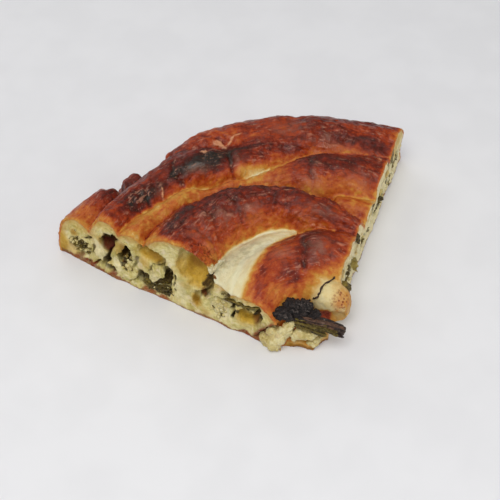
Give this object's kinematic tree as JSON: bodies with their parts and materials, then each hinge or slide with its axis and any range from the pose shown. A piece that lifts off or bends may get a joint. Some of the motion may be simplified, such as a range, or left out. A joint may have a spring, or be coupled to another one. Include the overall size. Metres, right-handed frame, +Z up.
{
  "type": "spinach and cheese borek slice",
  "caption": "Knife-cut sector of a round coiled savoury pastry with browned ropes of dough, spinach and white cheese filling at its cut sides, and charred spinach at its torn tip.",
  "frame": {"origin": "on the flat underside, on the slice's middle line, 93 mm out from the middle of the round pastry it was cut from", "axes": "+X across the slice from its left-hand cut to its right-hand cut, +Y along the middle line from the tip to the rim, +Z up from the flat underside"},
  "size_m": [0.2295, 0.1757, 0.0559],
  "materials": {
    "baked_dough": "browned, slightly glossy baked crust",
    "spinach_cheese_filling": "moist cheese mixed with cooked spinach",
    "cheese_curd": "crumbly white cheese",
    "charred_spinach": "burnt, dry and matt",
    "spinach_leaf": "cooked leaf"
  },
  "bodies": {
    "root": {"pastry": "baked_dough", "filling_rim": "spinach_cheese_filling", "filling_outer": "spinach_cheese_filling", "filling_second": "spinach_cheese_filling", "filling_third": "spinach_cheese_filling", "filling_centre": "spinach_cheese_filling", "charred_spinach": "charred_spinach", "charred_thread": "charred_spinach", "curd_lump_left": "cheese_curd", "curd_lump_right": "cheese_curd", "leaf_scrap_upper": "spinach_leaf", "leaf_scrap_middle": "spinach_leaf", "leaf_scrap_lower": "spinach_leaf"}
  },
  "joints": []
}
